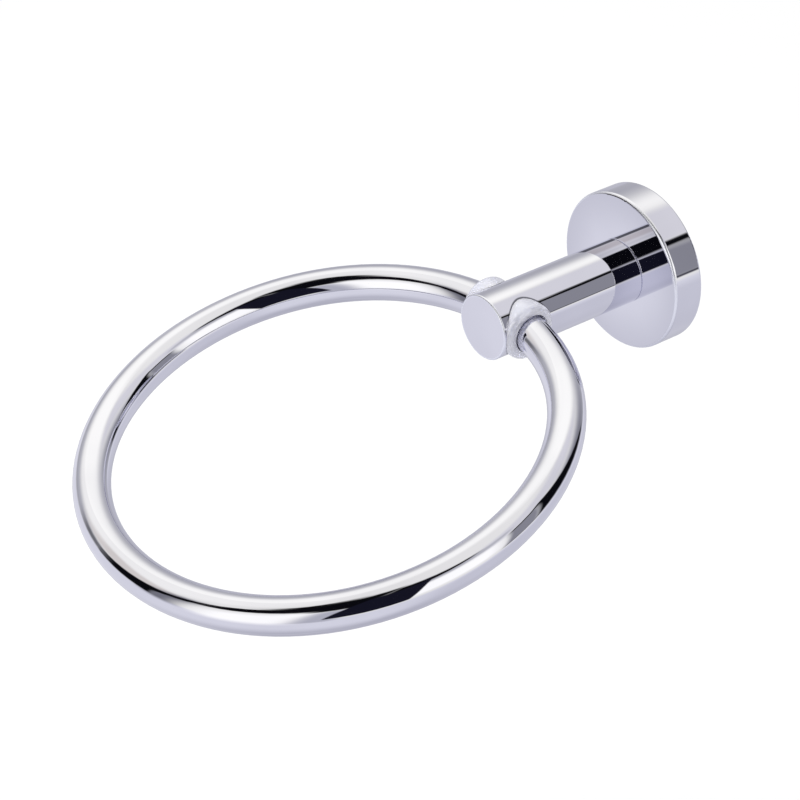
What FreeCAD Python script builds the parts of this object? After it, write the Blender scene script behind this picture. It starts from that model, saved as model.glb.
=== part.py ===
import FreeCAD, Part
import math
import os
import Sketcher

from FreeCAD import Vector

# Wall-mounted towel ring. The wall is the plane y = 0, the post stands out of it along -Y, the ring
# swings about an axis along X and +Z is up. The origin is the middle of the flange's back.
# Lengths are in millimetres and angles in degrees.
SIZES = [
    ("flange_diameter", 54.0, "outside of the round flange cover"),
    ("flange_depth", 11.5, "wall to the flange's front face"),
    ("flange_round", 1.1, "rounding of the flange's front edge"),
    ("flange_back_round", 0.8, "rounding of the flange's edge at the wall"),
    ("cover_wall", 2.5, "thickness of the flange cover's rim"),
    ("cover_web", 2.5, "thickness of the flange cover's front"),
    ("boss_rim", 1.0, "thick middle of the cover, outside its locating pin"),
    ("boss_gap", 1.0, "that middle to the wall plate round it"),
    ("plate_gap", 3.0, "front of the wall plate to the web"),
    ("plate_clearance", 0.2, "wall plate's edge to the inside of the rim"),
    ("groove_depth", 1.8, "depth and half width of the groove round the wall plate"),
    ("wall_hole", 5.0, "holes for the two wall screws"),
    ("wall_hole_sink", 9.4, "countersink of those holes"),
    ("grub_diameter", 4.0, "grub screw under the flange"),
    ("grub_length", 4.0, "length of the grub screw with its cone"),
    ("grub_socket", 2.0, "hexagon in the grub screw, across its flats"),
    ("grub_socket_depth", 1.5, "depth of that hexagon"),
    ("grub_tip_gap", 0.1, "cone's tip to the bottom of the groove"),
    ("post_diameter", 22.0, "outside of the post"),
    ("post_reach", 69.6, "wall to the post's end face"),
    ("post_round", 0.45, "rounding of the post's front edge"),
    ("post_back_round", 0.4, "rounding of the post's edge at the flange, which shows as a fine seam"),
    ("spigot_step", 5.0, "post's outside to the spigot that centres it in the cover"),
    ("spigot_length", 1.5, "length of the spigot"),
    ("screw_diameter", 6.0, "screw that draws the post to the cover"),
    ("screw_length", 16.0, "under its head"),
    ("screw_head_diameter", 10.5, "button head"),
    ("screw_head_top", 6.0, "flat top of the button head"),
    ("screw_head_edge", 0.8, "straight edge of the button head"),
    ("screw_head_height", 3.3, "height of the button head"),
    ("screw_head_gap", 1.6, "button head to the wall"),
    ("screw_socket", 4.0, "hexagon in the head, across its flats"),
    ("screw_socket_depth", 2.0, "depth of that hexagon"),
    ("screw_hole_spare", 3.0, "tapped hole past the screw's end"),
    ("screw_passage", 6.4, "hole in the cover for the screw"),
    ("washer_diameter", 11.8, "outside of the spring washer"),
    ("washer_hole", 6.2, "inside of the spring washer"),
    ("washer_thickness", 1.6, "spring washer pressed flat"),
    ("washer_slit", 0.8, "slit of the spring washer"),
    ("pin_diameter", 3.0, "locating pin that keeps the post level"),
    ("pin_gap", 0.5, "locating pin to the spigot below it"),
    ("pin_depth", 5.0, "locating pin inside the post"),
    ("pin_edge", 0.3, "chamfer of the pin's ends"),
    ("seat_gap", 0.03, "all round what is pressed or screwed into a hole"),
    ("bush_spread", 0.6, "share of the post's side round the sleeve that the bush's base covers"),
    ("bush_margin", 0.6, "bush's base to the post's end face"),
    ("bush_reach", 1.4, "post's side to the bush's front"),
    ("bush_lip", 0.8, "outside of the sleeve to the outside of the bush's front"),
    ("bush_round", 1.5, "rounding of the bush's shoulder and front edge"),
    ("bush_sleeve_wall", 1.2, "wall of the bush inside the post"),
    ("bush_start", 3.0, "middle of the post to the bush's inner end"),
    ("bush_stop", 1.5, "thickness of the stop inside the bush"),
    ("bush_stop_step", 2.0, "how far the stop reaches in over the tube's end"),
    ("bell_flare", 0.5, "how much wider the bore is at the bush's front"),
    ("bell_length", 3.0, "length over which the bore widens"),
    ("running_gap", 0.05, "between the ring and the bush's bore"),
    ("end_gap", 0.3, "between the ring's end and the stop"),
    ("ring_radius", 74.4, "middle of the tube to the ring's centre"),
    ("ring_tilt", 76.7, "ring swung out from hanging straight down"),
    ("tube_diameter", 12.0, "outside of the ring's tube"),
    ("tube_wall", 1.0, "wall of the ring's tube"),
    ("tube_bend", 12.0, "radius of the small bend at each end of the ring"),
    ("straight_spare", 0.8, "ring's straight end past the start of the bell"),
]

# Lengths that several pieces share, as formulas of the sizes above
COVER_INSIDE = "(Sizes.flange_diameter / 2 - Sizes.cover_wall)"
WEB_BACK = "(Sizes.flange_depth - Sizes.cover_web)"
BOSS_BACK = "(Sizes.screw_head_gap + Sizes.screw_head_height + Sizes.washer_thickness)"
POST_RADIUS = "(Sizes.post_diameter / 2)"
SPIGOT_RADIUS = f"({POST_RADIUS} - Sizes.spigot_step)"
PIN_OFFSET = f"({SPIGOT_RADIUS} + Sizes.pin_gap + Sizes.pin_diameter / 2)"
BOSS_RADIUS = f"({PIN_OFFSET} + Sizes.pin_diameter / 2 + Sizes.boss_rim)"
PLATE_RADIUS = f"({COVER_INSIDE} - Sizes.plate_clearance)"
PLATE_INSIDE = f"({BOSS_RADIUS} + Sizes.boss_gap)"
PLATE_THICKNESS = f"({WEB_BACK} - Sizes.plate_gap)"
WALL_HOLE_PLACE = f"(({PLATE_RADIUS} + {PLATE_INSIDE}) / 2)"
GROOVE_PLACE = f"({PLATE_THICKNESS} / 2)"
BUSH_BORE = "(Sizes.tube_diameter / 2 + Sizes.running_gap)"
SLEEVE_RADIUS = f"({BUSH_BORE} + Sizes.bush_sleeve_wall)"
BUSH_BASE = f"({SLEEVE_RADIUS} + Sizes.bush_spread * ({POST_RADIUS} - {SLEEVE_RADIUS}))"
BUSH_FRONT = f"({POST_RADIUS} + Sizes.bush_reach)"
BELL_START = f"({BUSH_FRONT} - Sizes.bell_length)"
HINGE_PLACE = f"(Sizes.post_reach - {BUSH_BASE} - Sizes.bush_margin)"
TUBE_START = "(Sizes.bush_start + Sizes.bush_stop + Sizes.end_gap)"
STRAIGHT_END = f"({BELL_START} + Sizes.straight_spare)"

doc = FreeCAD.newDocument("TowelRing")
sheet = doc.addObject("Spreadsheet::Sheet", "Sizes")
for row, (alias, value, meaning) in enumerate(SIZES, start=1):
    sheet.set(f"A{row}", alias)
    sheet.set(f"B{row}", str(value))
    sheet.set(f"C{row}", meaning)
    sheet.setAlias(f"B{row}", alias)
doc.recompute()


def number(formula):
    """A formula's value as a plain number."""
    return float(sheet.evalExpression(formula))


def new_body(label, x="0", y="0", z="0"):
    """A body whose own origin stands at a place given by three formulas."""
    body = doc.addObject("PartDesign::Body", label)
    body.Label = label
    for axis, formula in (("x", x), ("y", y), ("z", z)):
        body.setExpression(f"Placement.Base.{axis}", formula)
    return body


def new_sketch(body, name, role, offset="0"):
    """A sketch on one of the body's origin planes, moved along the plane's normal."""
    sketch = body.newObject("Sketcher::SketchObject", name)
    plane = next(item for item in body.Origin.OriginFeatures if item.Role == role)
    sketch.AttachmentSupport = [(plane, "")]
    sketch.MapMode = "FlatFace"
    sketch.setExpression("AttachmentOffset.Base.z", offset)
    return sketch


def hold(sketch, name, kind, elements, formula):
    """A dimension of the sketch, tied to a formula."""
    constraint = sketch.addConstraint(Sketcher.Constraint(kind, *elements, number(formula)))
    sketch.renameConstraint(constraint, name)
    sketch.setExpression(f"Constraints.{name}", formula)


def hold_point(sketch, name, element, corner, x, y):
    """The place of one point of the sketch, tied to a formula along each axis."""
    for axis, formula in (("X", x), ("Y", y)):
        if number(formula) == 0:
            line = -2 if axis == "X" else -1
            sketch.addConstraint(Sketcher.Constraint("PointOnObject", element, corner, line))
        else:
            hold(sketch, f"{name}_{axis.lower()}", f"Distance{axis}", (-1, 1, element, corner), formula)


def add_circle(sketch, name, diameter, x="0", y="0"):
    """A circle in the sketch, its diameter and centre tied to formulas."""
    centre = Vector(number(x), number(y), 0)
    circle = sketch.addGeometry(Part.Circle(centre, Vector(0, 0, 1), number(diameter) / 2), False)
    hold(sketch, f"{name}_diameter", "Diameter", (circle,), diameter)
    hold_point(sketch, name, circle, 3, x, y)


def add_outline(sketch, corners):
    """A closed outline of straight lines whose corners are pairs of formulas."""
    points = [Vector(number(x), number(y), 0) for x, y in corners]
    count = len(points)
    for index in range(count):
        sketch.addGeometry(Part.LineSegment(points[index], points[(index + 1) % count]), False)
    for index in range(count):
        sketch.addConstraint(Sketcher.Constraint("Coincident", index, 2, (index + 1) % count, 1))
    for index, (x, y) in enumerate(corners):
        hold_point(sketch, f"corner_{index}", index, 1, x, y)


def add_hexagon(sketch, across_flats):
    """A regular hexagon round the sketch's origin."""
    corner = f"({across_flats} / 2 / cos(30 deg))"
    turns = range(0, 360, 60)
    add_outline(sketch, [(f"{corner} * cos({turn + 30} deg)", f"{corner} * sin({turn + 30} deg)")
                         for turn in turns])


def turn(body, name, role, corners, axis, kind="PartDesign::Revolution"):
    """A full turn of an outline about an axis of its sketch, which adds or cuts."""
    sketch = new_sketch(body, name + "_profile", role)
    add_outline(sketch, corners)
    feature = body.newObject(kind, name)
    feature.Profile = sketch
    feature.ReferenceAxis = (sketch, [axis])
    feature.Angle = 360
    doc.recompute()
    return feature


def pad(body, name, sketch, length, reverse=False):
    """Material from the sketch, along its normal or against it."""
    feature = body.newObject("PartDesign::Pad", name)
    feature.Profile = sketch
    feature.Reversed = reverse
    feature.setExpression("Length", length)
    doc.recompute()
    return feature


def cut(body, name, sketch, length, along_normal=True):
    """A pocket from the sketch, by default to the side that the sketch's normal points to."""
    feature = body.newObject("PartDesign::Pocket", name)
    feature.Profile = sketch
    feature.Reversed = along_normal
    feature.setExpression("Length", length)
    doc.recompute()
    return feature


def cut_both_ways(body, name, sketch):
    """A pocket right through the body, to both sides of the sketch."""
    feature = body.newObject("PartDesign::Pocket", name)
    feature.Profile = sketch
    feature.SideType = "Symmetric"
    feature.Type = "ThroughAll"
    doc.recompute()
    return feature


def round_edges(feature, axis, radius, station):
    """The names of the circular edges of one radius whose centre has one place along an axis."""
    names = []
    for index, edge in enumerate(feature.Shape.Edges, start=1):
        if not isinstance(edge.Curve, Part.Circle):
            continue
        place = getattr(edge.Curve.Center, axis)
        if abs(edge.Curve.Radius - number(radius)) < 0.001 and abs(place - number(station)) < 0.001:
            names.append(f"Edge{index}")
    return names


def dress(body, name, kind, base, edges, size):
    """A fillet or a chamfer on named edges."""
    feature = body.newObject(f"PartDesign::{kind}", name)
    feature.Base = (base, edges)
    feature.setExpression("Radius" if kind == "Fillet" else "Size", size)
    doc.recompute()
    return feature


# Cast plate that two screws hold to the wall, with a groove round its edge for the grub screw
def make_wall_plate():
    body = new_body("wall_plate")
    turn(body, "plate_disc", "XY_Plane", [
        (PLATE_INSIDE, "0"),
        (PLATE_RADIUS, "0"),
        (PLATE_RADIUS, f"-({GROOVE_PLACE} - Sizes.groove_depth)"),
        (f"{PLATE_RADIUS} - Sizes.groove_depth", f"-{GROOVE_PLACE}"),
        (PLATE_RADIUS, f"-({GROOVE_PLACE} + Sizes.groove_depth)"),
        (PLATE_RADIUS, f"-{PLATE_THICKNESS}"),
        (PLATE_INSIDE, f"-{PLATE_THICKNESS}"),
    ], "V_Axis")
    sketch = new_sketch(body, "wall_hole_places", "XZ_Plane", PLATE_THICKNESS)
    add_circle(sketch, "upper", "Sizes.wall_hole", "0", WALL_HOLE_PLACE)
    add_circle(sketch, "lower", "Sizes.wall_hole", "0", f"-{WALL_HOLE_PLACE}")
    doc.recompute()
    holes = body.newObject("PartDesign::Hole", "wall_holes")
    holes.Profile = sketch
    holes.ThreadType = "None"
    holes.DepthType = "ThroughAll"
    holes.HoleCutType = "Countersink"
    holes.HoleCutCountersinkAngle = 90
    holes.setExpression("Diameter", "Sizes.wall_hole")
    holes.setExpression("HoleCutDiameter", "Sizes.wall_hole_sink")
    doc.recompute()
    return body


# Hollow cup over the wall plate, which carries the post
def make_flange_cover():
    body = new_body("flange_cover")
    outside = "Sizes.flange_diameter / 2"
    passage = "Sizes.screw_passage / 2"
    recess = f"{SPIGOT_RADIUS} + Sizes.seat_gap"
    cup = turn(body, "cover_cup", "XY_Plane", [
        (passage, "-(Sizes.flange_depth - Sizes.spigot_length)"),
        (recess, "-(Sizes.flange_depth - Sizes.spigot_length)"),
        (recess, "-Sizes.flange_depth"),
        (outside, "-Sizes.flange_depth"),
        (outside, "0"),
        (COVER_INSIDE, "0"),
        (COVER_INSIDE, f"-{WEB_BACK}"),
        (BOSS_RADIUS, f"-{WEB_BACK}"),
        (BOSS_RADIUS, f"-{BOSS_BACK}"),
        (passage, f"-{BOSS_BACK}"),
    ], "V_Axis")
    front = dress(body, "front_round", "Fillet", cup,
                  round_edges(cup, "y", outside, "-Sizes.flange_depth"), "Sizes.flange_round")
    dress(body, "back_round", "Fillet", front, round_edges(front, "y", outside, "0"),
          "Sizes.flange_back_round")
    sketch = new_sketch(body, "pin_hole_place", "XZ_Plane")
    add_circle(sketch, "pin", "Sizes.pin_diameter + 2 * Sizes.seat_gap", "0", PIN_OFFSET)
    cut(body, "pin_hole", sketch, "Sizes.flange_depth")
    sketch = new_sketch(body, "grub_hole_place", "XY_Plane", f"-({outside})")
    add_circle(sketch, "grub", "Sizes.grub_diameter + 2 * Sizes.seat_gap", "0", f"-{GROOVE_PLACE}")
    cut(body, "grub_hole", sketch, "Sizes.grub_length")
    return body


# Grub screw that reaches up through the rim into the wall plate's groove
def make_cover_screw():
    tip = f"-({PLATE_RADIUS} - Sizes.groove_depth) - Sizes.grub_tip_gap"
    body = new_body("cover_screw", y=f"-{GROOVE_PLACE}", z=f"{tip} - Sizes.grub_length")
    radius = "Sizes.grub_diameter / 2"
    turn(body, "grub_body", "XZ_Plane", [
        ("0", "0"),
        (radius, "0"),
        (radius, f"Sizes.grub_length - {radius}"),
        ("0", "Sizes.grub_length"),
    ], "V_Axis")
    sketch = new_sketch(body, "grub_hexagon", "XY_Plane")
    add_hexagon(sketch, "Sizes.grub_socket")
    cut(body, "grub_socket", sketch, "Sizes.grub_socket_depth")
    return body


# Turned bar with a cross bore for the bushes and a tapped hole in its back
def make_post():
    body = new_body("post", y="-Sizes.flange_depth")
    length = "(Sizes.post_reach - Sizes.flange_depth)"
    sketch = new_sketch(body, "bar_circle", "XZ_Plane")
    add_circle(sketch, "bar", "Sizes.post_diameter")
    bar = pad(body, "bar", sketch, length)
    front = dress(body, "end_round", "Fillet", bar, round_edges(bar, "y", POST_RADIUS, f"-{length}"),
                  "Sizes.post_round")
    dress(body, "seam_round", "Fillet", front, round_edges(front, "y", POST_RADIUS, "0"),
          "Sizes.post_back_round")
    sketch = new_sketch(body, "spigot_circle", "XZ_Plane")
    add_circle(sketch, "spigot", f"2 * {SPIGOT_RADIUS}")
    pad(body, "spigot", sketch, "Sizes.spigot_length", reverse=True)
    sketch = new_sketch(body, "tapped_hole_place", "XZ_Plane", "-Sizes.spigot_length")
    add_circle(sketch, "tapped", "Sizes.screw_diameter + 2 * Sizes.seat_gap")
    into_post = f"(Sizes.screw_length - Sizes.washer_thickness - (Sizes.flange_depth - {BOSS_BACK}))"
    cut(body, "tapped_hole", sketch, f"Sizes.spigot_length + {into_post} + Sizes.screw_hole_spare")
    sketch = new_sketch(body, "pin_seat_place", "XZ_Plane")
    add_circle(sketch, "pin", "Sizes.pin_diameter + 2 * Sizes.seat_gap", "0", PIN_OFFSET)
    cut(body, "pin_seat", sketch, "Sizes.pin_depth + Sizes.pin_edge")
    sketch = new_sketch(body, "cross_bore_place", "YZ_Plane")
    add_circle(sketch, "cross_bore", f"2 * ({SLEEVE_RADIUS} + Sizes.seat_gap)",
               f"-({HINGE_PLACE} - Sizes.flange_depth)")
    cut_both_ways(body, "cross_bore", sketch)
    return body


# Button-head screw from inside the cover into the post
def make_post_screw():
    body = new_body("post_screw", y=f"-{BOSS_BACK} + Sizes.washer_thickness")
    radius = "Sizes.screw_diameter / 2"
    head = "Sizes.screw_head_diameter / 2"
    turn(body, "screw_body", "XY_Plane", [
        ("0", "-Sizes.screw_length"),
        (radius, "-Sizes.screw_length"),
        (radius, "0"),
        (head, "0"),
        (head, "Sizes.screw_head_edge"),
        ("Sizes.screw_head_top / 2", "Sizes.screw_head_height"),
        ("0", "Sizes.screw_head_height"),
    ], "V_Axis")
    sketch = new_sketch(body, "screw_hexagon", "XZ_Plane", "-Sizes.screw_head_height")
    add_hexagon(sketch, "Sizes.screw_socket")
    cut(body, "screw_socket", sketch, "Sizes.screw_socket_depth")
    return body


# Spring washer under the screw's head, pressed flat
def make_spring_washer():
    body = new_body("spring_washer", y=f"-{BOSS_BACK}")
    sketch = new_sketch(body, "washer_circles", "XZ_Plane")
    add_circle(sketch, "outer", "Sizes.washer_diameter")
    add_circle(sketch, "inner", "Sizes.washer_hole")
    pad(body, "washer_disc", sketch, "Sizes.washer_thickness", reverse=True)
    sketch = new_sketch(body, "slit_outline", "XZ_Plane")
    half = "Sizes.washer_slit / 2"
    add_outline(sketch, [(half, "0"), (half, "Sizes.washer_diameter"),
                         (f"-{half}", "Sizes.washer_diameter"), (f"-{half}", "0")])
    cut(body, "slit", sketch, "Sizes.washer_thickness", along_normal=False)
    return body


# Pin beside the screw that keeps the ring's axis level
def make_locating_pin():
    body = new_body("locating_pin", y=f"-{BOSS_BACK}", z=PIN_OFFSET)
    length = f"(Sizes.flange_depth - {BOSS_BACK} + Sizes.pin_depth)"
    sketch = new_sketch(body, "pin_circle", "XZ_Plane")
    add_circle(sketch, "pin", "Sizes.pin_diameter")
    rod = pad(body, "rod", sketch, length)
    radius = "Sizes.pin_diameter / 2"
    ends = round_edges(rod, "y", radius, "0") + round_edges(rod, "y", radius, f"-{length}")
    dress(body, "pin_ends", "Chamfer", rod, ends, "Sizes.pin_edge")
    return body


# Moulded bush: a domed collar seated on the round post, and a sleeve inside the cross bore
def make_bush(label, turned):
    body = new_body(label, y=f"-{HINGE_PLACE}")
    body.Placement = FreeCAD.Placement(body.Placement.Base, FreeCAD.Rotation(Vector(0, 0, 1), turned))
    front = f"({SLEEVE_RADIUS} + Sizes.bush_lip)"
    collar = turn(body, "collar", "XY_Plane", [
        ("0", "0"),
        (BUSH_FRONT, "0"),
        (BUSH_FRONT, front),
        (POST_RADIUS, BUSH_BASE),
        ("0", BUSH_BASE),
    ], "H_Axis")
    dress(body, "collar_rounds", "Fillet", collar,
          round_edges(collar, "x", front, BUSH_FRONT) + round_edges(collar, "x", BUSH_BASE, POST_RADIUS),
          "Sizes.bush_round")
    sketch = new_sketch(body, "saddle_circle", "XZ_Plane")
    add_circle(sketch, "saddle", "Sizes.post_diameter + 2 * Sizes.seat_gap")
    cut_both_ways(body, "saddle", sketch)
    collar_middle = f"(({POST_RADIUS} + {BUSH_FRONT}) / 2)"
    turn(body, "sleeve", "XY_Plane", [
        ("Sizes.bush_start", "0"),
        (collar_middle, "0"),
        (collar_middle, SLEEVE_RADIUS),
        ("Sizes.bush_start", SLEEVE_RADIUS),
    ], "H_Axis")
    stop = "(Sizes.bush_start + Sizes.bush_stop)"
    stop_hole = "(Sizes.tube_diameter / 2 - Sizes.bush_stop_step)"
    turn(body, "bore", "XY_Plane", [
        ("Sizes.bush_start", "0"),
        (BUSH_FRONT, "0"),
        (BUSH_FRONT, f"{BUSH_BORE} + Sizes.bell_flare"),
        (BELL_START, BUSH_BORE),
        (stop, BUSH_BORE),
        (stop, stop_hole),
        ("Sizes.bush_start", stop_hole),
    ], "H_Axis", kind="PartDesign::Groove")
    return body


# Centre line of the ring as it hangs: straight ends on the axis, small bends and one large arc
def draw_ring_line(sketch):
    radius = number("Sizes.ring_radius")
    bend = number("Sizes.tube_bend")
    bend_x = number(STRAIGHT_END)
    start = number(TUBE_START)
    lean = math.asin(bend_x / (radius - bend))
    drop = bend + (radius - bend) * math.cos(lean)
    normal = Vector(0, 0, 1)
    quarter = math.pi / 2
    left_bend = Part.Circle(Vector(-bend_x, -bend, 0), normal, bend)
    right_bend = Part.Circle(Vector(bend_x, -bend, 0), normal, bend)
    large = Part.Circle(Vector(0, -drop, 0), normal, radius)
    sketch.addGeometry([
        Part.LineSegment(Vector(-start, 0, 0), Vector(-bend_x, 0, 0)),
        Part.ArcOfCircle(left_bend, quarter, quarter + lean),
        Part.ArcOfCircle(large, quarter + lean, 5 * quarter - lean),
        Part.ArcOfCircle(right_bend, quarter - lean, quarter),
        Part.LineSegment(Vector(bend_x, 0, 0), Vector(start, 0, 0)),
    ], False)
    for index in range(4):
        sketch.addConstraint(Sketcher.Constraint("Tangent", index, 2, index + 1, 1))
    for line, corner in ((0, 1), (4, 2)):
        sketch.addConstraint(Sketcher.Constraint("Horizontal", line))
        sketch.addConstraint(Sketcher.Constraint("PointOnObject", line, corner, -1))
    sketch.addConstraint(Sketcher.Constraint("PointOnObject", 2, 3, -2))
    sketch.addConstraint(Sketcher.Constraint("Equal", 1, 3))
    hold(sketch, "ring_radius", "Radius", (2,), "Sizes.ring_radius")
    hold(sketch, "tube_bend", "Radius", (1,), "Sizes.tube_bend")
    hold(sketch, "straight_end", "DistanceX", (-1, 1, 3, 2), STRAIGHT_END)
    hold(sketch, "left_end", "DistanceX", (-1, 1, 0, 1), f"-{TUBE_START}")
    hold(sketch, "right_end", "DistanceX", (-1, 1, 4, 2), TUBE_START)


# Ring of bent tube, swung out from the wall about its two ends
def make_ring():
    body = new_body("ring", y=f"-{HINGE_PLACE}")
    body.Placement = FreeCAD.Placement(body.Placement.Base, FreeCAD.Rotation(Vector(-1, 0, 0), 1))
    body.setExpression("Placement.Rotation.Angle", "Sizes.ring_tilt * 1 deg")
    line = new_sketch(body, "ring_line", "XZ_Plane")
    draw_ring_line(line)
    section = new_sketch(body, "tube_section", "YZ_Plane", f"-{TUBE_START}")
    add_circle(section, "outside", "Sizes.tube_diameter")
    add_circle(section, "inside", "Sizes.tube_diameter - 2 * Sizes.tube_wall")
    tube = body.newObject("PartDesign::AdditivePipe", "tube")
    tube.Profile = section
    tube.Spine = (line, [])
    tube.Mode = "Standard"
    doc.recompute()
    return body


pieces = [
    make_wall_plate(),
    make_flange_cover(),
    make_cover_screw(),
    make_post(),
    make_post_screw(),
    make_spring_washer(),
    make_locating_pin(),
    make_bush("bush_right", 0),
    make_bush("bush_left", 180),
    make_ring(),
]
doc.recompute()

for item in doc.Objects:
    if {"Invalid", "Error"} & set(item.State):
        raise RuntimeError(f"{item.Name} failed")
for piece in pieces:
    if piece.Shape.isNull() or not piece.Shape.isValid() or len(piece.Shape.Solids) != 1:
        raise RuntimeError(f"{piece.Label} is not one sound solid")

os.makedirs("parts", exist_ok=True)
for piece in pieces:
    piece.Shape.exportStep(f"parts/{piece.Label}.step")
    box = piece.Shape.BoundBox
    print(f"{piece.Label}: {piece.Shape.Volume / 1000:.2f} cm3, "
          f"x {box.XMin:.1f} to {box.XMax:.1f}, y {box.YMin:.1f} to {box.YMax:.1f}, "
          f"z {box.ZMin:.1f} to {box.ZMax:.1f}")
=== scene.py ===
import math

import bpy
from mathutils import Matrix, Vector

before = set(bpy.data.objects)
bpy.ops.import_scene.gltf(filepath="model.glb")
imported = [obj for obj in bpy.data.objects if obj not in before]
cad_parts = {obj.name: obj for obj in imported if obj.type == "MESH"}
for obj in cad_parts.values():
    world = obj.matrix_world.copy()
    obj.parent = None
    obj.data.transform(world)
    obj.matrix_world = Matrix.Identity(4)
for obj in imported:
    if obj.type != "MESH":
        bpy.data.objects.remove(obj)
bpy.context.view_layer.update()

# The photograph's camera, in degrees, metres and millimetres
CAMERA_AZIMUTH = 51.795
CAMERA_ELEVATION = 33.4345
CAMERA_ROLL = 0.40
CAMERA_PLACE = (0.55317, -0.53800, 0.45061)
CAMERA_LENS = 121.27
CAMERA_NEAREST = 0.05

# The plain studio, in metres and watts. The floor fades to white between two distances from the
# object, so that no horizon shows.
FLOOR_HEIGHT = -0.24
FLOOR_SIZE = 30.0
FLOOR_WHITE = (0.97, 0.97, 0.97)
FLOOR_FADE = (0.25, 0.9)
ROOM_WHITE = (1.0, 1.0, 1.0)
ROOM_LEVEL = 0.78
LAMP_PLACE = (-0.5, -0.5, 1.6)
LAMP_SIZE = 1.8
LAMP_WATTS = 16.0

# Where most of a noise's values lie
NOISE_SPAN = (0.3, 0.7)

# The chrome's two colours and its roughness, the slow waves and the fine marks of buffing, as noise
# scale and detail, and their heights in metres
CHROME_COLOURS = (0.69, 0.69, 0.77), (0.74, 0.74, 0.82)
CHROME_ROUGHNESS = (0.015, 0.035)
WAVES = (30.0, 2.0)
WAVE_HEIGHT = 0.00004
BUFFING = (420.0, 4.0)
BUFFING_SPAN = (0.35, 0.75)
BUFFING_HEIGHT = 0.0000012

# Where the flange's and the post's front ends and the hinge lie, in metres
FLANGE_RADIUS = 0.027
FLANGE_DEPTH = 0.0115
POST_RADIUS = 0.011
POST_REACH = 0.0696
HINGE_PLACE = -0.0595

# The painted light on the chrome: the painted shade of the flange's face, which grows between two
# radii, the dull front edges, which carry a painted highlight, and the painted shadow line over the
# bushes, which grows between two heights. Each ends softly between two distances.
PAINTED_FACE_SHADE = (0.61, 0.61, 0.69)
PAINTED_FACE_SHADE_RADII = (0.012, 0.029)
FACE_DEPTHS = (0.00008, 0.0004)
EDGE_HIGHLIGHT_COLOUR = (0.85, 0.86, 0.95)
EDGE_ROUGHNESS = 0.35
EDGE_SOFT = (0.0008, 0.00048)
SHADOW_LINE_COLOUR = (0.16, 0.16, 0.19)
SHADOW_LINE_RADII = (0.00966, 0.0099)
SHADOW_LINE_HEIGHTS = (0.003, 0.0075)

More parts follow.
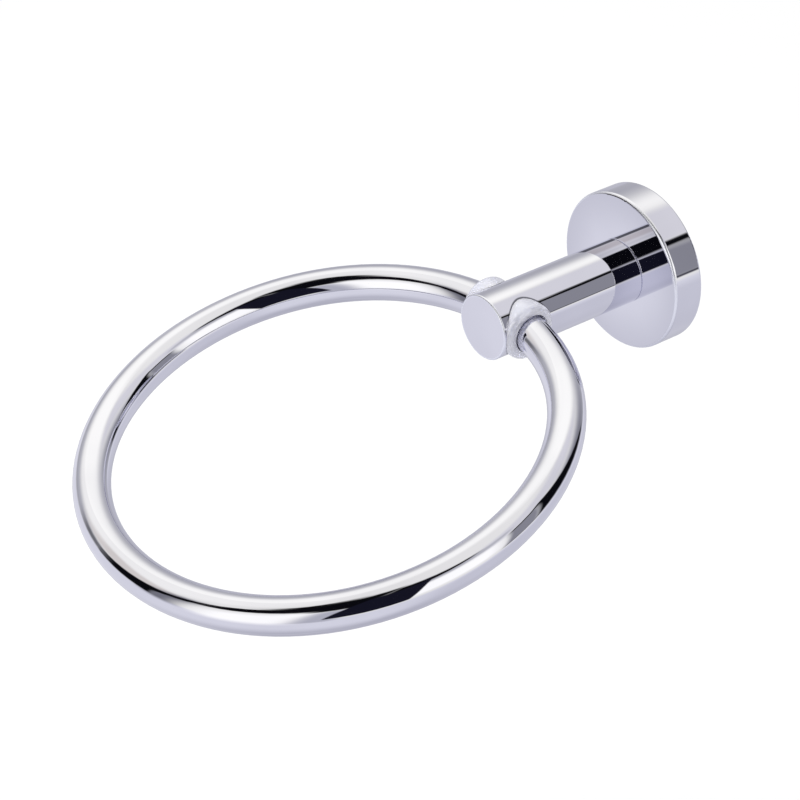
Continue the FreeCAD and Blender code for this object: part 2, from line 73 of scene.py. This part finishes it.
# What the polished metal mirrors, as the room's brightness by direction. The bearing is 0 along +X,
# 90 along -Y and -90 along +Y. Each panel has the bearings that it covers, its lowest and highest
# elevation at the first bearing, how much each of these rises over a degree of bearing, the half
# widths of its soft edges in bearing and in elevation, and its colour.
SKY = (1.06, 1.05, 0.97)
BLACK = (0.004, 0.004, 0.006)
PANELS = [
    ("overhead_left", (130, 190), (28, 68), (0, 0), (12, 9), (1.18, 1.17, 1.08)),
    ("overhead_left_far", (-190, -112), (33, 68), (0, 0), (12, 9), (1.30, 1.29, 1.18)),
    ("high_wall", (-104, -16), (38, 62), (0, 0), (9, 7), (0.86, 0.85, 0.86)),
    ("far_corner", (-164, -56), (-60, 31), (0, 0), (11, 20), (0.52, 0.52, 0.55)),
    ("far_shade", (-98, -58), (-4, 23), (0, 0), (20, 14), (0.24, 0.24, 0.27)),
    ("left_wall", (150, 195), (-8, 20), (0, 0), (10, 10), (0.55, 0.55, 0.57)),
    ("left_wall_far", (-195, -160), (-8, 21), (0, 0), (8, 10), (0.58, 0.58, 0.60)),
    ("table", (-200, 200), (-95, -4.5), (0, 0), (5, 3), (0.88, 0.88, 0.93)),
    ("table_far", (-122, -2), (-95, -10), (0, 0), (18, 6), (0.73, 0.73, 0.79)),
    ("table_left", (-166, -112), (-95, -2), (0, 0), (14, 6), (0.58, 0.58, 0.64)),
    ("table_below", (-200, 200), (-95, -62), (0, 0), (5, 26), (0.56, 0.56, 0.62)),
    ("warm_wall", (112, 156), (16, 38), (0, 0), (8, 5), (0.86, 0.81, 0.74)),
    ("side_wall", (106, 122), (-9, 42), (0, 0), (7, 8), (0.22, 0.22, 0.25)),
    ("back_panel", (-90, -47), (-1, 3), (0, 0.92), (3, 3), BLACK),
    ("back_panel_side", (-47, -29), (0, 35), (0, 0), (3, 2.5), (0.31, 0.31, 0.34)),
    ("back_panel_foot", (-60, -29), (-1.5, 1.0), (0, 0), (3, 1), (0.08, 0.08, 0.10)),
    ("back_panel_edge", (-52, -30), (34, 38.5), (0, 0), (3, 1), BLACK),
    ("above_panel", (-62, -20), (40.5, 56), (0, 0), (8, 1.5), (0.86, 0.85, 0.86)),
    ("above_window", (-34, 22), (45, 52), (0, 0.3), (5, 4), (0.62, 0.62, 0.64)),
    ("right_window", (-24, 26), (5, 39), (0, 0.12), (8, 7), (1.38, 1.37, 1.28)),
    ("between_windows", (42, 62), (-11, 37), (0, 0), (5, 4), (0.56, 0.56, 0.61)),
    ("front_window", (61, 97), (-14, 43.5), (0, -0.5), (9, 12), (1.38, 1.37, 1.28)),
    ("ceiling_dark", (-15, 42), (56, 61), (-0.1, 0.2), (7, 3), BLACK),
    ("ceiling_dark_corner", (42, 66), (39, 74), (0, 0), (5, 3), BLACK),
    ("ceiling_dark_front", (42, 92), (46, 74), (-0.1, 0), (6, 4), BLACK),
    ("ceiling_dark_left", (86, 110), (58, 74), (0, 0), (7, 5), BLACK),
    ("beam", (81, 109), (44.5, 73), (-0.5, -0.8), (2, 1.5), BLACK),
    ("beam_bend", (108.5, 115), (28.5, 51.5), (-1.3, -2.2), (1, 1.5), BLACK),
    ("beam_end", (114.5, 121), (19, 39), (-1.5, -2.1), (1, 1.5), BLACK),
    ("dark_card", (13.5, 48), (-0.5, 60), (0, 0), (0.8, 2), (0.01, 0.01, 0.02)),
    ("doorway", (117, 145), (-5, 31), (0, -0.74), (1.5, 3), BLACK),
    ("doorway_shade", (141, 158), (-4, 12), (0, 0), (6, 5), (0.20, 0.20, 0.21)),
    ("left_line", (160, 190), (0.5, 5), (0, 0), (8, 3), (0.46, 0.46, 0.48)),
    ("left_line_far", (-190, -168), (3, 9), (0, 0), (6, 3), (0.46, 0.46, 0.48)),
]


def new_tree(name):
    """A material with an empty node tree."""
    material = bpy.data.materials.new(name)
    material.use_nodes = True
    material.node_tree.nodes.clear()
    return material, material.node_tree


def math_node(tree, kind, *values):
    """A Math node whose inputs are numbers or sockets."""
    node = tree.nodes.new("ShaderNodeMath")
    node.operation = kind
    for socket, value in zip(node.inputs, values):
        if isinstance(value, (int, float)):
            socket.default_value = value
        else:
            tree.links.new(value, socket)
    return node.outputs[0]


def ramp(tree, value, low, high, start=0.0, end=1.0):
    """A number that goes smoothly from start to end as value goes from low to high."""
    node = tree.nodes.new("ShaderNodeMapRange")
    node.interpolation_type = "SMOOTHSTEP"
    tree.links.new(value, node.inputs["Value"])
    for name, number in (("From Min", low), ("From Max", high), ("To Min", start), ("To Max", end)):
        node.inputs[name].default_value = number
    return node.outputs["Result"]


def mix(tree, factor, first, second):
    """A colour between two, which are three numbers or sockets."""
    node = tree.nodes.new("ShaderNodeMix")
    node.data_type = "RGBA"
    tree.links.new(factor, node.inputs["Factor"])
    for socket, value in ((node.inputs[6], first), (node.inputs[7], second)):
        if isinstance(value, tuple):
            socket.default_value = (*value, 1.0)
        else:
            tree.links.new(value, socket)
    return node.outputs[2]


def noise(tree, scale, detail=3.0, roughness=0.5):
    """Noise that is fixed to the piece, with features of about 1/scale metres."""
    place = tree.nodes.new("ShaderNodeTexCoord")
    node = tree.nodes.new("ShaderNodeTexNoise")
    node.inputs["Scale"].default_value = scale
    node.inputs["Detail"].default_value = detail
    node.inputs["Roughness"].default_value = roughness
    tree.links.new(place.outputs["Object"], node.inputs["Vector"])
    return node.outputs["Fac"]


def bump(tree, height, distance, strength=1.0, before=None):
    """A bump of that height, scaled to that distance in metres, on top of another one."""
    node = tree.nodes.new("ShaderNodeBump")
    node.inputs["Strength"].default_value = strength
    node.inputs["Distance"].default_value = distance
    tree.links.new(height, node.inputs["Height"])
    if before is not None:
        tree.links.new(before, node.inputs["Normal"])
    return node.outputs["Normal"]


def shader(tree, colour, roughness, normal, **values):
    """The surface's shader with those links and plain values, joined to the output."""
    node = tree.nodes.new("ShaderNodeBsdfPrincipled")
    out = tree.nodes.new("ShaderNodeOutputMaterial")
    tree.links.new(colour, node.inputs["Base Color"])
    tree.links.new(roughness, node.inputs["Roughness"])
    tree.links.new(normal, node.inputs["Normal"])
    for name, value in values.items():
        node.inputs[name.replace("_", " ")].default_value = value
    tree.links.new(node.outputs[0], out.inputs["Surface"])


def spread(tree, value, first, second):
    """The two numbers' or colours' blend by a noise's value."""
    if isinstance(first, tuple):
        return mix(tree, ramp(tree, value, *NOISE_SPAN), first, second)
    return ramp(tree, value, *NOISE_SPAN, first, second)


def distance_from(tree, across, along, upward):
    """The distance from a point, in the piece's coordinates. A coordinate of None isn't counted,
    which makes the point a line, and two of None make it a plane."""
    place = tree.nodes.new("ShaderNodeTexCoord")
    parts = tree.nodes.new("ShaderNodeSeparateXYZ")
    tree.links.new(place.outputs["Object"], parts.inputs[0])
    total = 0.0
    for output, middle in zip(parts.outputs, (across, along, upward)):
        if middle is not None:
            offset = math_node(tree, "SUBTRACT", output, middle)
            total = math_node(tree, "MULTIPLY_ADD", offset, offset, total)
    return math_node(tree, "SQRT", total)


def round_edge(tree, radius, end):
    """1 at the rounded edge of a bar or disc about the Y axis and 0 elsewhere."""
    outward = distance_from(tree, 0.0, None, 0.0)
    from_end = distance_from(tree, None, end, None)
    far, near = EDGE_SOFT
    return math_node(tree, "MULTIPLY", ramp(tree, outward, radius - far, radius - near),
                     ramp(tree, from_end, near, far, 1.0, 0.0))


def chrome_colour(tree):
    """Polished chrome's slightly lavender colour, which varies a little."""
    return spread(tree, noise(tree, *WAVES), *CHROME_COLOURS)


def finish_chrome(tree, colour, edge=None):
    """Nearly a mirror, with the faint waviness of buffing, and dull and painted lighter, a painted
    highlight, where edge is 1.
    """
    fine = noise(tree, *BUFFING)
    roughness = ramp(tree, fine, *BUFFING_SPAN, *CHROME_ROUGHNESS)
    if edge is not None:
        # Painted highlight: the rounded edge is made lighter in colour; its extra roughness is real.
        colour = mix(tree, edge, colour, EDGE_HIGHLIGHT_COLOUR)
        roughness = math_node(tree, "MULTIPLY_ADD", edge, EDGE_ROUGHNESS, roughness)
    buffed = bump(tree, fine, BUFFING_HEIGHT)
    normal = bump(tree, noise(tree, *WAVES), WAVE_HEIGHT, before=buffed)
    shader(tree, colour, roughness, normal, Metallic=1.0)


def make_ring_chrome():
    """Polished chrome without marks."""
    material, tree = new_tree("ring_chrome")
    finish_chrome(tree, chrome_colour(tree))
    return material


def make_post_chrome():
    """Polished chrome with a thin painted shadow line over the bushes' collars and a dull front edge
    with a painted highlight.
    """
    material, tree = new_tree("post_chrome")
    outward = distance_from(tree, None, HINGE_PLACE, 0.0)
    height = distance_from(tree, None, None, 0.0)
    # Painted shadow: a thin dark line on the post around each bush's collar, on its upper side.
    painted_shadow_line = math_node(tree, "MULTIPLY", ramp(tree, outward, *SHADOW_LINE_RADII, 1.0, 0.0),
                     ramp(tree, height, *SHADOW_LINE_HEIGHTS))
    finish_chrome(tree, mix(tree, painted_shadow_line, chrome_colour(tree), SHADOW_LINE_COLOUR),
                  round_edge(tree, POST_RADIUS, -POST_REACH))
    return material


def make_cover_chrome():
    """Polished chrome with a dull front edge with a painted highlight, whose front face has painted
    shade that darkens it a little outwards.
    """
    material, tree = new_tree("cover_chrome")
    outward = distance_from(tree, 0.0, None, 0.0)
    from_face = distance_from(tree, None, -FLANGE_DEPTH, None)
    # Painted shade: the flange's front face is made darker towards its rim.
    painted_face_shade = math_node(tree, "MULTIPLY", ramp(tree, outward, *PAINTED_FACE_SHADE_RADII),
                      ramp(tree, from_face, *FACE_DEPTHS, 1.0, 0.0))
    finish_chrome(tree, mix(tree, painted_face_shade, chrome_colour(tree), PAINTED_FACE_SHADE),
                  round_edge(tree, FLANGE_RADIUS, -FLANGE_DEPTH))
    return material


def make_cast_plate():
    """Raw zinc casting, grey and slightly grainy."""
    material, tree = new_tree("cast_plate")
    blotch = noise(tree, 140.0, 5.0, 0.6)
    grain = noise(tree, 1800.0, 3.0)
    colour = spread(tree, blotch, (0.42, 0.42, 0.43), (0.56, 0.56, 0.57))
    roughness = spread(tree, blotch, 0.42, 0.6)
    normal = bump(tree, grain, 0.00006, before=bump(tree, blotch, 0.0002, 0.5))
    shader(tree, colour, roughness, normal, Metallic=0.85)
    return material


def make_screw_steel():
    """Bright zinc plating on steel, faintly blue and yellow."""
    material, tree = new_tree("screw_steel")
    tint = noise(tree, 260.0, 3.0)
    fine = noise(tree, 2600.0, 2.0)
    colour = spread(tree, tint, (0.58, 0.60, 0.64), (0.66, 0.64, 0.58))
    roughness = spread(tree, fine, 0.22, 0.36)
    normal = bump(tree, fine, 0.00001)
    shader(tree, colour, roughness, normal, Metallic=1.0)
    return material


def make_clear_nylon():
    """Milky, half clear moulded plastic."""
    material, tree = new_tree("clear_nylon")
    cloud = noise(tree, 160.0, 2.0)
    grain = noise(tree, 300.0, 2.0)
    colour = spread(tree, cloud, (0.81, 0.82, 0.97), (0.86, 0.86, 1.0))
    roughness = spread(tree, grain, 0.05, 0.09)
    normal = bump(tree, cloud, 0.00003, 0.4)
    shader(tree, colour, roughness, normal, Transmission_Weight=0.25, IOR=1.50, Coat_Weight=1.0,
           Coat_Roughness=0.03, Coat_IOR=1.7, Subsurface_Weight=0.5, Subsurface_Scale=0.001,
           Subsurface_Radius=(1.0, 1.0, 1.0))
    return material


def give(material, *names):
    """Put that material in every slot of these nodes."""
    for name in names:
        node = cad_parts[name]
        if not node.material_slots:
            raise RuntimeError(f"{name} has no material slot")
        for place in node.material_slots:
            place.material = material


def make_camera():
    """The photograph's view, with its roll."""
    azimuth, elevation, roll = (math.radians(angle) for angle in
                                (CAMERA_AZIMUTH, CAMERA_ELEVATION, CAMERA_ROLL))
    right = Vector((math.cos(azimuth), math.sin(azimuth), 0.0))
    ahead = Vector((-math.sin(azimuth) * math.cos(elevation), math.cos(azimuth) * math.cos(elevation),
                    -math.sin(elevation)))
    up = right.cross(ahead)
    rolled_right = math.cos(roll) * right + math.sin(roll) * up
    rolled_up = math.cos(roll) * up - math.sin(roll) * right
    camera = bpy.data.objects.new("camera", bpy.data.cameras.new("camera"))
    camera.data.lens = CAMERA_LENS
    camera.data.clip_start = CAMERA_NEAREST
    turn = Matrix((rolled_right, rolled_up, -ahead)).transposed().to_4x4()
    camera.matrix_world = Matrix.Translation(CAMERA_PLACE) @ turn
    bpy.context.scene.collection.objects.link(camera)
    bpy.context.scene.camera = camera


def seen_directly(tree):
    """1 for what the camera sees, plainly or through the plastic, and 0 otherwise."""
    ray = tree.nodes.new("ShaderNodeLightPath").outputs
    return math_node(tree, "MAXIMUM", ray["Is Camera Ray"], ray["Is Transmission Ray"])


def make_floor():
    """A plain white floor below the ring's lowest reach. The metal mirrors the room instead."""
    half = FLOOR_SIZE / 2
    mesh = bpy.data.meshes.new("floor")
    corners = [(-half, -half, FLOOR_HEIGHT), (half, -half, FLOOR_HEIGHT),
               (half, half, FLOOR_HEIGHT), (-half, half, FLOOR_HEIGHT)]
    mesh.from_pydata(corners, [], [(0, 1, 2, 3)])
    floor = bpy.data.objects.new("floor", mesh)
    material, tree = new_tree("floor")
    surface = tree.nodes.new("ShaderNodeBsdfDiffuse")
    surface.inputs["Color"].default_value = (*FLOOR_WHITE, 1.0)
    white = tree.nodes.new("ShaderNodeEmission")
    seen = seen_directly(tree)
    far = ramp(tree, distance_from(tree, 0.0, 0.0, None), *FLOOR_FADE)
    both = tree.nodes.new("ShaderNodeMixShader")
    out = tree.nodes.new("ShaderNodeOutputMaterial")
    tree.links.new(math_node(tree, "MULTIPLY", seen, far), both.inputs[0])
    tree.links.new(surface.outputs[0], both.inputs[1])
    tree.links.new(white.outputs[0], both.inputs[2])
    tree.links.new(both.outputs[0], out.inputs["Surface"])
    mesh.materials.append(material)
    floor.visible_glossy = False
    bpy.context.scene.collection.objects.link(floor)


def make_lamp():
    """One large soft lamp overhead. The metal mirrors the room instead."""
    light = bpy.data.lights.new("lamp", "AREA")
    light.size = LAMP_SIZE
    light.energy = LAMP_WATTS
    lamp = bpy.data.objects.new("lamp", light)
    lamp.location = LAMP_PLACE
    lamp.rotation_euler = lamp.location.to_track_quat("Z", "Y").to_euler()
    lamp.visible_glossy = False
    lamp.visible_camera = False
    bpy.context.scene.collection.objects.link(lamp)


def covers(tree, bearing, elevation, panel):
    """1 inside a panel's bearings and elevations and 0 outside, over its soft edge."""
    _, bearings, elevations, rises, soft, _ = panel
    inside = ramp(tree, bearing, bearings[0] - soft[0], bearings[0] + soft[0])
    edges = [ramp(tree, bearing, bearings[1] - soft[0], bearings[1] + soft[0], 1.0, 0.0)]
    for edge, rise, start in ((elevations[0], rises[0], 0.0), (elevations[1], rises[1], 1.0)):
        level = math_node(tree, "MULTIPLY_ADD", bearing, -rise, rise * bearings[0])
        level = math_node(tree, "ADD", level, elevation)
        edges.append(ramp(tree, level, edge - soft[1], edge + soft[1], start, 1.0 - start))
    for edge in edges:
        inside = math_node(tree, "MULTIPLY", inside, edge)
    return inside


def make_room():
    """A white room: plain for the camera and for shading, with panels for what the metal mirrors."""
    world = bpy.data.worlds.new("room")
    bpy.context.scene.world = world
    world.use_nodes = True
    tree = world.node_tree
    tree.nodes.clear()
    place = tree.nodes.new("ShaderNodeTexCoord")
    parts = tree.nodes.new("ShaderNodeSeparateXYZ")
    tree.links.new(place.outputs["Generated"], parts.inputs[0])
    across, along, upward = parts.outputs
    backward = math_node(tree, "MULTIPLY", along, -1.0)
    bearing = math_node(tree, "DEGREES", math_node(tree, "ARCTAN2", backward, across))
    elevation = math_node(tree, "DEGREES", math_node(tree, "ARCSINE", upward))
    colour = SKY
    for panel in PANELS:
        colour = mix(tree, covers(tree, bearing, elevation, panel), colour, panel[-1])
    ray = tree.nodes.new("ShaderNodeLightPath").outputs
    reflected = math_node(tree, "SUBTRACT", ray["Is Glossy Ray"], ray["Is Transmission Ray"])
    mirrored = tree.nodes.new("ShaderNodeBackground")
    tree.links.new(colour, mirrored.inputs["Color"])
    plain = tree.nodes.new("ShaderNodeBackground")
    plain.inputs["Color"].default_value = (*ROOM_WHITE, 1.0)
    strength = ramp(tree, seen_directly(tree), 0, 1, ROOM_LEVEL, 1.0)
    tree.links.new(strength, plain.inputs["Strength"])
    both = tree.nodes.new("ShaderNodeMixShader")
    out = tree.nodes.new("ShaderNodeOutputWorld")
    tree.links.new(math_node(tree, "MAXIMUM", reflected, 0.0), both.inputs[0])
    tree.links.new(plain.outputs[0], both.inputs[1])
    tree.links.new(mirrored.outputs[0], both.inputs[2])
    tree.links.new(both.outputs[0], out.inputs["Surface"])


bpy.context.scene.view_settings.view_transform = "Standard"
make_camera()
make_room()
make_floor()
make_lamp()
give(make_ring_chrome(), "ring")
give(make_post_chrome(), "post")
give(make_cover_chrome(), "flange_cover")
give(make_cast_plate(), "wall_plate")
give(make_screw_steel(), "cover_screw", "post_screw", "spring_washer", "locating_pin")
give(make_clear_nylon(), "bush_right", "bush_left")
